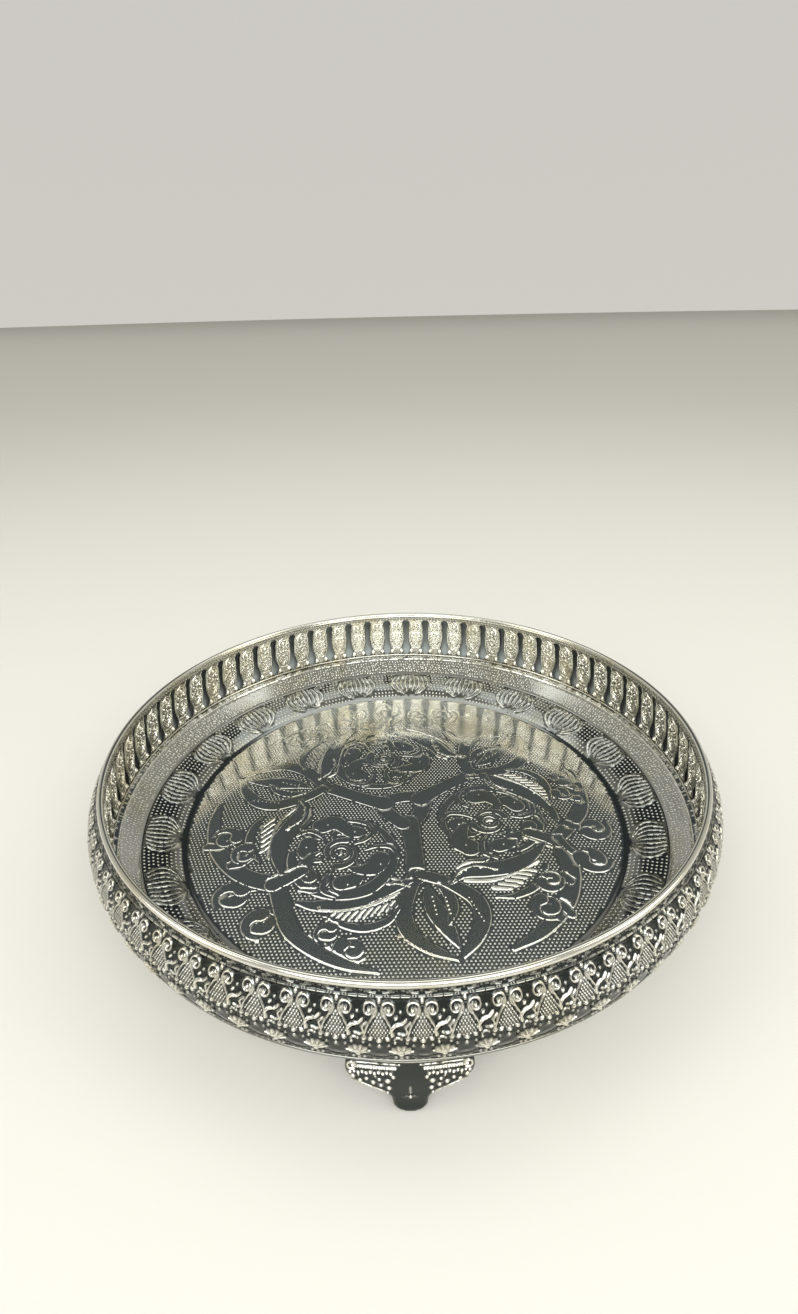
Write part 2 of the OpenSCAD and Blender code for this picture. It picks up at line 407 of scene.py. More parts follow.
def silver(name, bright, recess_shade, rough, relief_lo=0.0, relief_hi=1.0, wave=0.0, back_shade=None):
    """Silver plate: bright on raised metal and a painted shade in the hollows, the colour following the
    relief attribute, with tarnish clouds and rub marks.
    wave sways the sheet slightly, and the colour given for a strip's rear faces is a flat grey, a painted
    shade for the dim space seen through the gallery's openings."""
    m = bpy.data.materials.new(name)
    m.use_nodes = True
    tree = m.node_tree
    shader = tree.nodes["Principled BSDF"]
    shader.inputs["Metallic"].default_value = 1.0
    where = add_node(tree, "TexCoord", {}, "Object")
    relief = add_node(tree, "Attribute", {}, "Fac", attribute_name="relief")
    cloud = add_node(tree, "TexNoise", {"Vector": where, "Scale": 38.0, "Detail": 5.0, "Roughness": 0.62},
                     "Fac")
    fine = add_node(tree, "TexNoise", {"Vector": where, "Scale": 1500.0, "Detail": 3.0}, "Fac")
    colour = mix_colours(tree, map_range(tree, relief, relief_lo, relief_hi), (*recess_shade, 1), (*bright, 1))
    colour = mix_colours(tree, map_range(tree, cloud, 0.48, 0.72), colour, TARNISH, blend_type="MULTIPLY")
    dull = map_range(tree, cloud, 0.3, 0.7, rough * 0.75, rough * 1.45)
    # rear faces: rougher, and coloured a flat grey, a painted shade for the dim space between the walls
    if back_shade:
        rear = map_range(tree, relief, 0.4 * BACK, 0.9 * BACK)
        dull = add_node(tree, "Math", {0: rear, 1: 0.4, 2: dull}, 0, operation="MULTIPLY_ADD")
        colour = mix_colours(tree, rear, colour, (*back_shade, 1))
    bump = {"Height": fine, "Strength": 0.06, "Distance": 0.0002}
    if wave:
        slow = add_node(tree, "TexNoise", {"Vector": where, "Scale": 30.0, "Detail": 1.5}, "Fac")
        sway = {"Height": slow, "Strength": wave, "Distance": 0.002}
        bump["Normal"] = add_node(tree, "Bump", sway, "Normal")
    tree.links.new(colour, shader.inputs["Base Color"])
    tree.links.new(dull, shader.inputs["Roughness"])
    tree.links.new(add_node(tree, "Bump", bump, "Normal"), shader.inputs["Normal"])
    return m


# In these materials the hollows' darker colour is painted shade, standing in for shadow and dark
# reflections; raised metal gets the bright colour.
M_PLATE = silver("silver_plate", (0.93, 0.925, 0.87), (0.20, 0.21, 0.205), 0.09, -0.8, 0.25, wave=0.04)
M_GALLERY = silver("silver_gallery", (1.0, 0.985, 0.90), (0.36, 0.352, 0.305), 0.22, 0.42, 0.80)
# the apron's rear faces, seen through the gallery's openings, are painted a flat grey-green shade
M_APRON = silver("silver_apron", (0.92, 0.905, 0.82), (0.05, 0.056, 0.054), 0.15, 0.16, 1.0,
                 back_shade=(0.37, 0.40, 0.39))
M_WIRE = silver("silver_wire", (0.77, 0.76, 0.695), (0.10, 0.11, 0.105), 0.13)
M_FOOT = silver("silver_foot", (0.95, 0.93, 0.85), (0.06, 0.068, 0.065), 0.15, 0.05, 0.6)
M_RIVET = silver("silver_rivet", (0.74, 0.68, 0.52), (0.74, 0.68, 0.52), 0.3)

# ---- tray plate

SHEET = 0.8
PLATE_EDGE = 152.0
PLATE_R = [0, 118.0, 118.6, 119.7, 125.4, 128.4, 131.4, 137.6, 138.2, 138.8, 150.6, PLATE_EDGE]
PLATE_Z = [11.9, 11.9, 12.4, 12.45, 16.15, 17.45, 18.35, 20.6, 20.3, 20.95, 30.2, 30.2]
UNDER_R = [PLATE_EDGE, 150.6, 138.8, 131.4, 128.4, 125.4, 119.5, 118.0, 80.0, 40.0]
EDGE_N = 720                      # points round the plate's edge and round each ring of its underside
FLOOR_R = 116.7                   # the dots of the floor stay within this
DOT_R, DOT_H, DOT_PITCH, DOT_ROW = 0.56, 0.24, 1.95, 1.72
SLOPE_DOT_R, SLOPE_DOT_H, SLOPE_DOT_PITCH = 0.68, 0.34, 2.42       # between the shells
BORDER_WIRE_R = 148.0
GROUND_SHADE_R = [117.5, 117.9, 121, 124, 138, 139]
GROUND_SHADE = [0, 0.75, 0.65, 0.85, 0.85, 0.42]         # painted shade: how far the ground's colour is darkened below raised metal, by radius


def plate_z(r):
    return np.interp(r, PLATE_R, PLATE_Z)


KNOT = (46.0, -12.0)
KNOT_PETALS = [(-170, 17.5, 6.4), (-128, 24.0, 8.6), (-76, 19.5, 7.0), (-18, 22.0, 6.2), (42, 21.0, 7.2),
               (100, 21.5, 8.2)]      # angle, distance out and size of each comma's head
CURLS = [(-83, -62, 7.4, 55, -63, -57), (-67, -78, 6.8, 100, -57, -68), (-36, -84, 4.6, 60, -45, -88),
         (-25, -92.5, 6.0, 150, -36, -93), (66, -71, 6.2, 120, 76, -76),
         (70, -55, 5.6, 200, 80, -56)]       # centre, radius, where the tail starts and the stem's foot


def draw_knot(band, line, bead):
    """A ring round a seeded eye, full commas curling off it and a long loop over its outer side."""
    def at(angle, out):
        return polar(out, angle, *KNOT)

    kx, ky = KNOT
    band([(*at(a, 29.0 - 0.03 * abs(a - 60)), 2.9 - 0.013 * abs(a - 60)) for a in range(-60, 205, 12)])
    for k, (angle, out, head) in enumerate(KNOT_PETALS):
        way = 1 if k % 2 else -1
        ex, ey = at(angle, out)
        band([(*at(angle - 46 * way, 11.0), 0.6), (*at(angle - 32 * way, 15.5), 0.26 * head),
              (*at(angle - 12 * way, out - 1.0), 0.48 * head),
              (*at(angle + 6 * way, out - 0.5), 0.54 * head)])
        band([(*at(angle + 12 * way, out + 8.4), 0.6), (*at(angle + 27 * way, out + 5.0), 1.1),
              (*at(angle + 33 * way, out - 2.0), 0.95), (*at(angle + 28 * way, out - 8.0), 0.3)])
        bead(ex + 0.5, ey + 1.0, 0.8, 0.27)
    for start in (20, 195):
        band([(*at(start + a, 9.6 - 0.02 * a), 1.7 - 0.008 * a) for a in range(0, 131, 13)])
    band([(*q, 0.95) for q in arc(kx, ky, 4.4, 40, 340, 15)])
    line([(kx - 1.8, ky - 0.4), (kx, ky + 0.8), (kx + 1.8, ky + 0.2)], 0.4, 0.16)


def draw_vines(m, turn):
    """A third of the floor's pattern: scrolling vines, a knot, a lily, feathered leaves and curls."""
    def band(points):
        m.band([(x, y, 1.22 * w + 0.15) for x, y, w in turned(points, turn)])

    def line(points, half=0.42, rise=0.18):
        m.line(turned(points, turn), half, rise)

    def bead(x, y, r=0.7, h=0.28):
        m.bump(*turned([(x, y)], turn)[0], r, h)

    # trunk and the blunt triangle round the hub
    band([(2, -15, 3.8), (8, -6, 3.6), (11.5, 5.5, 3.6)])
    band([(2, -12, 4.6), (3.5, -22, 3.9), (4.6, -34, 3.6), (4.8, -44, 3.9), (5.5, -51, 4.0)])
    draw_knot(band, line, bead)
    # vines out of the node by the rim
    band([(79, -28, 4.2), (82, -42, 3.9), (80.5, -56, 3.7), (74, -71, 3.3), (61, -85, 2.6), (47, -94, 1.0)])
    band([(79, -27, 3.6), (90, -15, 3.4), (98, -3.5, 3.2), (101, 12, 2.8), (100.5, 27, 2.0), (97, 41, 0.6)])
    band([(66, -22, 2.4), (73, -25, 2.8), (80, -29, 3.4)])
    line([(62, -24.5), (69, -28.6), (76, -33)])
    # lily below the trunk
    band([(5, -50, 3.2), (1.0, -60, 3.4), (-1.5, -72, 3.4), (1, -84, 3.2), (10, -93, 2.4), (22, -99, 0.7)])
    band([(8, -50, 2.6), (18, -54, 2.8), (27, -60, 3.1), (33.5, -67, 3.3), (35, -77, 3.2),
          (31, -88, 2.6), (24, -98, 0.8)])
    band([(10.5, -57, 0.5), (11.2, -65, 2.8), (14.5, -74, 4.0), (19, -84, 2.8), (23, -93, 0.5)])
    band([(15.5, -57, 0.4), (20.5, -64, 2.2), (22, -72, 1.8), (19.8, -80, 0.4)])
    for k in range(5):
        bead(12.4 + 0.4 * k, -64 - 2.6 * k)
        bead(18.8 + 0.4 * k, -64.5 - 2.4 * k)
    for k in range(7):
        bead(-3.4 + 2.3 * k, -86.4 - 1.9 * k + 0.06 * k * k, 0.62, 0.32)
        bead(29.9 + 0.9 * k, -64.9 - 2.3 * k, 0.62, 0.26)
    # feathered leaf to the left
    band([(-52, -66, 1.0), (-42, -68.2, 2.6), (-28, -66.6, 3.9), (-15, -61, 3.9), (-4, -56.5, 2.6),
          (3, -54, 0.8)])
    line([(-41, -70.6), (-30, -71.0), (-17, -68), (-3, -61)], 0.5, 0.3)
    for k in range(9):
        x, y = -33.5 + 3.5 * k, -72.4 + 0.10 * k * k
        line([(x, y), (x - 2.2, y - 2.6), (x - 3.8, y - 5.6)], 0.48, 0.24)
    band([(-37, -74.5, 0.5), (-29, -79.5, 1.4), (-19, -81.5, 1.9), (-9, -78, 1.6), (-3, -70, 0.6)])
    line([(-19.5, -61), (-14, -56.6), (-6, -55.4), (2, -57.4)])
    line([(-16, -55), (-9, -51.6), (-2, -54)])
    # feathered leaf to the right
    band([(22, -56, 0.8), (29, -49.5, 2.6), (40, -47.5, 3.8), (53, -45, 3.9), (64, -38.5, 2.8),
          (72, -30, 1.0)])
    line([(29, -53.6), (38, -54.4), (48, -52.6), (58, -48), (67, -42)], 0.5, 0.3)
    for k in range(6):
        x, y = 41.5 + 3.6 * k, -58.6 + 2.2 * k
        line([(x, y), (x + 4.4, y - 0.8), (x + 9.6 - 0.9 * k, y - 1.4)], 0.48, 0.24)
    band([(44, -65, 0.5), (52, -64.5, 1.3), (61, -60, 1.8), (67.5, -53, 1.5), (71, -45, 0.5)])
    line([(23, -55), (27, -48.6), (35, -45), (46, -47.6)])
    line([(25.5, -46), (31, -42.2), (39, -42)])
    # full round curls with a blind eye, an arc below and a stem
    for x, y, r, a, sx, sy in CURLS:
        band([(sx, sy, 1.9), ((sx + x) / 2 + 1.5, (sy + y) / 2 + 3.5, 1.7),
              (x + 0.2 * r, y + 0.6 * r, 2.2)])
        band([(x - 0.9, y, r * 0.66), (x + 0.9, y, r * 0.7)])
        line([(x - 2.2, y + 0.4), (x - 0.2, y + 1.3), (x + 1.6, y + 1.0)], 0.3, 0.1)
        band([(*polar(0.78 * r * (1 + 0.075 * i), t, x, y), (0.46 - 0.045 * i) * r)
              for i, t in enumerate(np.linspace(a, a + 165, 9))])


SHELL_TURNS = [87.4 + k * 360.0 / 21 for k in range(21)]
SHELL_HALF, SHELL_DEEP, SHELL_MID = 12.2, 8.3, 128.6


def draw_shells(m):
    """Onion-shaped fans of curved ribs on low domes, round the sloping band.
    Gives back the heights that the ribs stand on."""
    for deg in SHELL_TURNS:
        m.bump(*polar(SHELL_MID, deg), SHELL_HALF, 0.13, squash=SHELL_DEEP / SHELL_HALF, turn=deg + 90,
               power=1.3)
    under = m.h.copy()
    for deg in SHELL_TURNS:
        for j in range(-4, 5):
            t = j / 4.0
            mid = (19.0 * t, 124.2 + 3.0 * (1 - abs(t)))
            end = (10.4 * t, 135.4 + 1.5 * (1 - t * t))
            s = np.linspace(0.12 if abs(j) == 4 else 0.3 - 0.08 * (j % 2), 1, 10)
            u = 2 * s * (1 - s) * mid[0] + s * s * end[0]
            w = (1 - s) ** 2 * 120.6 + 2 * s * (1 - s) * mid[1] + s * s * end[1]
            m.line(turned(zip(w, u), deg), half=0.32, rise=0.2, clear=0.9, under=under)
    return under


def dot_field(m):
    """Centres of the stippled ground as rows of [x, y, radius, rise]."""
    rows = int(117 / DOT_ROW) + 1
    j = np.arange(-rows, rows + 1)[:, None]
    x = (np.arange(-60, 61) + 0.5 * (j % 2)) * DOT_PITCH + 0.10 * j
    p = np.stack([x, j * DOT_ROW + 0 * x], -1).reshape(-1, 2)
    p = p[np.hypot(*p.T) < FLOOR_R]
    groups = [np.c_[p, np.full(len(p), DOT_R), np.full(len(p), DOT_H)]]
    for i, r in enumerate(np.arange(120.7, 137.2, 2.05)):
        count = int(round(2 * PI * r / SLOPE_DOT_PITCH))
        groups.append(np.c_[circle(r, even_turns(count, 0.5 * (i % 2))), np.full(count, SLOPE_DOT_R),
                            np.full(count, SLOPE_DOT_H)])
    rng = np.random.default_rng(41)
    for i, r in enumerate(np.arange(140.2, 149.9, 1.5)):
        count = int(round(2 * PI * r / 1.8))
        th = even_turns(count, 0.5 * (i % 2)) + rng.uniform(-0.42, 0.42, count) / r
        rr = r + rng.uniform(-0.45, 0.45, count)
        size = rng.uniform(0.42, 0.66, count)
        groups.append(np.c_[circle(rr, th), size, 0.46 * size])
    dots = joined(groups)
    keep = np.ones(len(dots), bool)
    for near in circle(0.55, even_turns(6)):
        keep &= m.at(m.plain, *(dots[:, :2] + near).T) < 0.5
    return dots[keep]


def dome_points(dots):
    """Points, heights and slopes of the dots: a crown, a shoulder ring and a foot ring each."""
    points, heights, slopes = [dots[:, :2]], [dots[:, 3]], [np.zeros((len(dots), 2))]
    for share, fall, steep, turn in ((0.58, 0.50, 1.35, 0.0), (1.08, 0.0, 0.0, PI / 6)):
        ray = circle(1.0, even_turns(6) + turn)[None]
        q = dots[:, None, :2] + (share * dots[:, 2])[:, None, None] * ray
        g = -(steep * dots[:, 3] / dots[:, 2])[:, None, None] * ray
        points.append(q.reshape(-1, 2))
        heights.append(np.repeat(fall * dots[:, 3], 6))
        slopes.append(g.reshape(-1, 2))
    return joined(points), joined(heights), joined(slopes)


def plate_points(m, dots):
    """Mesh points of the top, the outer edge first, with their heights and slopes over the sheet."""
    rim = circle(PLATE_EDGE, even_turns(EDGE_N))
    own, own_h, own_g = dome_points(dots)
    rows = joined(m.edges)
    rows = rows[np.hypot(*rows.T) < PLATE_EDGE - 0.6]
    stations = [circle(r, even_turns(EDGE_N, 0.5)) for r in PLATE_R[1:-1]]
    rows = thinned(joined([*stations, rows[clear_of(rows, own, 0.7)]]), 0.3)
    fill = joined([circle(r, even_turns(max(6, int(2 * PI * r / 2.6)), 0.5 * (i % 2)))
                   for i, r in enumerate(np.arange(3, PLATE_EDGE, 2.6))])
    fill = fill[clear_of(fill, joined([rows, rim, own]), 1.7)]
    x, y = joined([rows, fill]).T
    return (joined([rim, own, rows, fill]),
            joined([np.zeros(EDGE_N), own_h, m.at(m.h, x, y)]),
            joined([0 * rim, own_g, np.stack(m.slopes(x, y), 1)]))


def plate_normals(xy, slopes):
    """Normals of the relief on the plate's own slope, which is eased under the shells."""
    r = np.hypot(*xy.T)
    reach = np.where((r > 121.5) & (r < 136.5), 2.4, 0.15)
    mid = np.clip(r, 0.2, PLATE_EDGE - 0.2)
    slope = (plate_z(mid + reach) - plate_z(mid - reach)) / (2 * reach)
    grad = slopes + xy / np.maximum(r, 1e-6)[:, None] * slope[:, None]
    normals = np.c_[-grad, np.ones(len(grad))]
    return normals / np.linalg.norm(normals, axis=1)[:, None]


def underside(base):
    """Points of the underside, numbered on from base, and triangles that hang it from the outer edge."""
    low = [np.c_[circle(r, even_turns(EDGE_N)), np.full(EDGE_N, plate_z(r) - SHEET)] for r in UNDER_R]
    low = joined([*low, [[0, 0, PLATE_Z[0] - SHEET]]])
    i = np.arange(EDGE_N)
    j = (i + 1) % EDGE_N
    starts = [0] + [base + k * EDGE_N for k in range(len(UNDER_R))]
    tris = []
    for a, b in zip(starts[:-1], starts[1:]):
        tris.append(quads(a + i, b + i, b + j, a + j))
    tris.append(np.c_[starts[-1] + i, np.full(EDGE_N, base + len(low) - 1), starts[-1] + j])
    return low, joined(tris)


def in_shells(xy):
    """Which points lie on a shell's low dome."""
    hit = np.zeros(len(xy), bool)
    for deg in SHELL_TURNS:
        c, s = polar(1.0, deg)
        out, along = xy @ [c, s] - SHELL_MID, xy @ [-s, c]
        hit |= (out / SHELL_DEEP) ** 2 + (along / SHELL_HALF) ** 2 < 1.1
    return hit


def make_tray():
    m = Relief(-153, 153, -153, 153, 0.15)
    for turn in (0, 120, 240):
        draw_vines(m, turn)
    domes = draw_shells(m)
    m.ring(BORDER_WIRE_R, half=0.4, rise=0.22)
    xy, h, slopes = plate_points(m, dot_field(m))
    r = np.hypot(*xy.T)
    low, under = underside(len(xy))
    # painted shade: the stippled ground, the sloping strip and the shells' domes are coloured darker than
    # raised metal, by the ground shade table and the shell mask
    dull = np.where(in_shells(xy), 0.85, np.interp(r, GROUND_SHADE_R, GROUND_SHADE))
    own = h - np.where((r > 118.8) & (r < 138), m.at(domes, *xy.T), 0)
    shade = own - dull * np.clip(1 - own / 0.2, 0, 1)
    build("tray_plate_sheet", joined([np.c_[xy, plate_z(r) + h], low]),
          joined([triangulate(xy), under]), M_PLATE, ("tray_plate",),
          joined([shade, np.full(len(low), 0.1)]),
          joined([plate_normals(xy, slopes), np.zeros((len(low), 3))]))


make_tray()

# ---- stamped strips


def thin_and_fill(m, keep, spacing):
    """Mesh points of a relief: its own edge rows, then a coarse hexagonal fill between them."""
    rows = joined([np.zeros((0, 2)), *m.edges])
    rows = thinned(rows[keep(rows, 0.18)], 0.28)
    fill = []
    for i, y in enumerate(np.arange(m.y0 + spacing * 0.4, m.y1, spacing * 0.87)):
        x = np.arange(m.x0, -m.x0 + 0.01, spacing) + 0.5 * spacing * (i % 2)
        fill.append(np.c_[x, np.full(len(x), y)])
    fill = joined(fill)
    fill = fill[keep(fill, 0.4)]
    return joined([rows, fill[clear_of(fill, rows, 0.8 * spacing)]])


class StampedRing:
    """A ring of thin sheet whose one stamped module repeats round the axis.
    side is 1 where the relief stands outwards and -1 where it stands towards the axis."""

    def __init__(self, m, count, start, pitch, face, thick, side, gap=None, spacing=1.0, limit=1e9):
        self.m, self.count, self.start, self.pitch = m, count, math.radians(start), pitch
        self.half, self.side, self.thick, self.limit = pitch / 2, side, thick, limit
        f = smooth_curve([(z, r) for r, z in face], 0.5)
        self.z, self.r = f[:, 0], f[:, 1]
        self.slope = np.gradient(self.r, self.z)
        self.gap, self.spacing = gap, spacing

    def in_gap(self, p, margin):
        if self.gap is None:
            return np.zeros(len(p), bool)
        g = self.gap
        wide = np.interp(p[:, 1], g[:, 1], g[:, 0])
        level = (p[:, 1] > g[0, 1] - margin) & (p[:, 1] < g[-1, 1] + margin)
        return level & (np.abs(p[:, 0]) > self.half - wide - margin)

    def keep(self, p, margin):
        ok = (np.abs(p[:, 0]) < self.half - margin)
        ok &= (p[:, 1] > self.m.y0 + margin) & (p[:, 1] < self.m.y1 - margin)
        return ok & ~self.in_gap(p, margin * 1.4)

    def layout(self, inner):
        """Points, triangles and edge runs of one module: left side first, then right, then the rest."""
        m, h, g = self.m, self.half, self.gap
        if g is None:
            v = np.linspace(m.y0, m.y1, int((m.y1 - m.y0) / 0.7))
        else:
            v = joined([np.linspace(m.y0, g[0, 1], 3), np.linspace(g[-1, 1], m.y1, 7)])
        n = len(v)
        u = np.linspace(-h, h, 15)[1:-1]
        blocks = [np.c_[0 * v - h, v], np.c_[0 * v + h, v], np.c_[u, 0 * u + m.y0], np.c_[u, 0 * u + m.y1]]
        if g is not None:
            blocks += [np.c_[h - g[:, 0], g[:, 1]], np.c_[g[:, 0] - h, g[:, 1]]]
        at = np.cumsum([0] + [len(b) for b in blocks])
        runs = {"bottom": [0, *range(at[2], at[3]), n], "top": [n - 1, *range(at[3], at[4]), 2 * n - 1]}
        if g is None:
            sides = [range(n), range(n, 2 * n)]
        else:
            runs["right"] = [n + 2, *range(at[4], at[5]), n + 3]
            runs["left"] = [2, *range(at[5], at[6]), 3]
            sides = [range(3), range(3, n), range(n, n + 3), range(n + 3, 2 * n)]
        points = joined([*blocks, inner])
        f = triangulate(points, [*runs.values(), *sides])
        return points, f[~self.in_gap(points[f].mean(1), 0)], runs, n

    def place(self, points, lift, i):
        """Millimetre positions of module i's points, lift being the distance out along the radius."""
        r = np.minimum(np.interp(points[:, 1], self.z, self.r) + lift, self.limit)
        t = self.start + (i + points[:, 0] / self.pitch) * 2 * PI / self.count
        return np.c_[circle(r, t), points[:, 1]], t

    def mesh(self, name, material, replaces):
        """The ring's object: every module's stamped face, its plainer back, and walls between them."""
        m = self.m
        p, f, runs, side_n = self.layout(thin_and_fill(m, self.keep, self.spacing))
        coarse = Relief(m.x0, -m.x0, m.y0, m.y1, 1.0)
        q, g, _, _ = self.layout(thin_and_fill(coarse, self.keep, 3.2))
        n, k = len(p) - side_n, len(q) - side_n

        def number(index, i, size, base):
            """Vertex numbers of module i's points, whose right side is the next one's left."""
            index = np.asarray(index)
            on_right = (index >= side_n) & (index < 2 * side_n)
            module = np.where(on_right, (i + 1) % self.count, i)
            return base + module * size + np.where(index < side_n, index, index - side_n)

        keep_p = np.r_[0:side_n, 2 * side_n:len(p)]
        keep_q = np.r_[0:side_n, 2 * side_n:len(q)]
        h = m.at(m.h, *p.T)
        hu, hv = m.slopes(*p.T)
        rz = np.interp(p[:, 1], self.z, self.slope)
        fronts, backs, normals, faces = [], [], [], []
        for i in range(self.count):
            xyz, t = self.place(p, self.side * h, i)
            er = np.c_[circle(1.0, t), 0 * t]
            eu = np.c_[-er[:, 1], er[:, 0], 0 * t]
            nr = self.side * er - hu[:, None] * eu
            nr[:, 2] += -self.side * rz - hv
            nr /= np.linalg.norm(nr, axis=1)[:, None]
            fronts.append(xyz[keep_p])
            normals.append(nr[keep_p])
            backs.append(self.place(q, -self.side * self.thick, i)[0][keep_q])
            a, b = number(f, i, n, 0), number(g, i, k, n * self.count)
            faces += [a[:, ::self.side], b[:, ::-self.side]]
            for key, run in runs.items():
                x, y = number(run, i, n, 0), number(run, i, k, n * self.count)
                way = -self.side if key in ("bottom", "right") else self.side
                faces.append(quads(x[:-1], x[1:], y[1:], y[:-1])[:, ::way])
        relief = joined([np.tile(h[keep_p], self.count), np.full(k * self.count, BACK)])
        build(name, joined(fronts + backs), joined(faces), material, replaces,
              relief, joined([*normals, np.zeros((k * self.count, 3))]))


def module(pitch, z0, z1, draw):
    """The relief of one module, its neighbours drawn too so that the pattern runs across the seams."""
    m = Relief(-pitch / 2 - 2, pitch / 2 + 2, z0, z1, 0.1)
    for k in (-1, 0, 1):
        draw(m, k * pitch)
    return m


# ---- gallery of balusters

GAL_N = 67
GAL_AT = 2.49 + 180.0 / GAL_N
GAL_PITCH = 2 * PI * 149.9 / GAL_N
GAL_Z0, GAL_Z1, GAP_Z0, GAL_THICK = 30.2, 63.4, 31.3, 0.55
GAL_FACE = [(150.4, 30.2), (150.75, 34.2), (150.7, 39.2), (150.3, 44.2), (149.7, 49.2), (148.9, 54.2),
            (148.1, 58.7), (147.5, 61.6), (147.4, 63.4)]
GAP = [(1.75, 0), (1.85, 1.2), (2.75, 2.6), (3.1, 4.2), (2.9, 5.8), (2.2, 8.2), (1.7, 10.8), (1.5, 13.2),
       (1.55, 15.8), (1.75, 18.4), (1.75, 20.8), (1.7, 22.8), (2.0, 24.4), (2.45, 25.9), (2.0, 27.3),
       (1.0, 28.2)]


def draw_gallery(m, u0):
    """A baluster up its height, with volute foot, neck, belly, crossed leaves, domed lobe and cap."""
    g = smooth_curve([(h, w) for w, h in GAP], 0.5)
    side = GAL_PITCH / 2 - g[:, 1]
    win, x, y = m.window((u0 - 7, GAP_Z0), (u0 + 7, GAP_Z0 + 28.2))
    wide = np.interp(y[:, 0] - GAP_Z0, g[:, 0], side)[:, None]
    pillow = 0.45 * np.sqrt(np.clip(1 - ((x - u0) / (wide + 0.2)) ** 2, 0, None))
    m.h[win] = np.maximum(m.h[win], pillow)
    left, middle = Pen(m, u0, GAP_Z0, -1), Pen(m, u0, GAP_Z0)
    for pen in (left, middle):
        pen.line([(w - 0.75, h) for h, w in zip(g[3::2, 0], side[3::2])], 0.5, 0.42)
        pen.bumps((3.5, 2.3, 1.9, 1.45), (3.5, 2.3, 0.7, 1.9))
        pen.line([(0.75, 0.3), (0.8, 3.0)], 0.4, 0.35)
        pen.line([(4.3, 13.2), (2.2, 15.6), (0, 18.6)], 0.45, 0.5)
        pen.line([(0.4, 13.4), (2.3, 17.6), (4.2, 20.0)], 0.42, 0.45)
        pen.bumps((2.6, 19.9, 0.95, 1.5), (3.6, 16.2, 0.8, 1.4))
        pen.line([(4.6, 21.4), (3.8, 25.2), (0, 27.9)], 0.45, 0.45)
    middle.line([(-2.4, 5.2), (0, 4.6), (2.4, 5.2)], 0.5, 0.6)
    for pen in (left, middle):
        for k in range(3):
            pen.line([(0.5, 6.6 + 2.1 * k), (2.0, 8.0 + 2.1 * k), (3.4, 10.4 + 2.0 * k)], 0.42, 0.7)
        pen.line([(0.7, 20.8), (2.8, 22.4), (2.4, 25.2), (0.6, 26.2)], 0.42, 0.7)
    middle.bumps((0, 7.4, 1.0, 1.5, 1.6), (0, 13.6, 0.95, 1.7), (0, 17.4, 0.8, 1.6),
                 (0, 23.6, 1.3, 1.6, 1.3), (0, 20.3, 0.75, 1.5))
    # beads over the openings and the foot's edge line
    middle.bumps(*[((k - 2.5) * GAL_PITCH / 6, 29.6, 0.85, 0.6) for k in range(6)])
    Pen(m, u0).line([(-GAL_PITCH / 2, GAL_Z0 + 0.5), (GAL_PITCH / 2, GAL_Z0 + 0.5)], 0.5, 0.4)


def make_gallery():
    m = module(GAL_PITCH, GAL_Z0, GAL_Z1, draw_gallery)
    g = smooth_curve([(h, w) for w, h in GAP], 0.7)
    gap = np.c_[g[:, 1], g[:, 0] + GAP_Z0]
    ring = StampedRing(m, GAL_N, GAL_AT, GAL_PITCH, GAL_FACE, GAL_THICK, -1, gap, spacing=0.95)
    ring.mesh("gallery_sheet", M_GALLERY, ("gallery_band",))


make_gallery()

# ---- apron

APR_N, APR_AT = 67, 3.03
APR_PITCH = 2 * PI * 156.0 / APR_N
APR_Z0, APR_Z1 = 29.2, 63.2
APR_THICK, APR_LIMIT = 0.6, 157.82               # sheet thickness and largest radius of any relief
APR_FACE = [(152.59, 29.2), (154.7, 34.4), (156.05, 39.0), (156.55, 44.0), (156.2, 48.5), (155.0, 53.0),
            (153.3, 56.6), (151.73, 59.4), (150.14, 61.4), (149.28, 63.2)]
DROP_Z = [46.6, 47.4, 48.6, 50.0, 52.4, 54.6, 56.8]
DROP_HALF = [0, 2.6, 3.8, 4.0, 3.0, 1.8, 0.3]


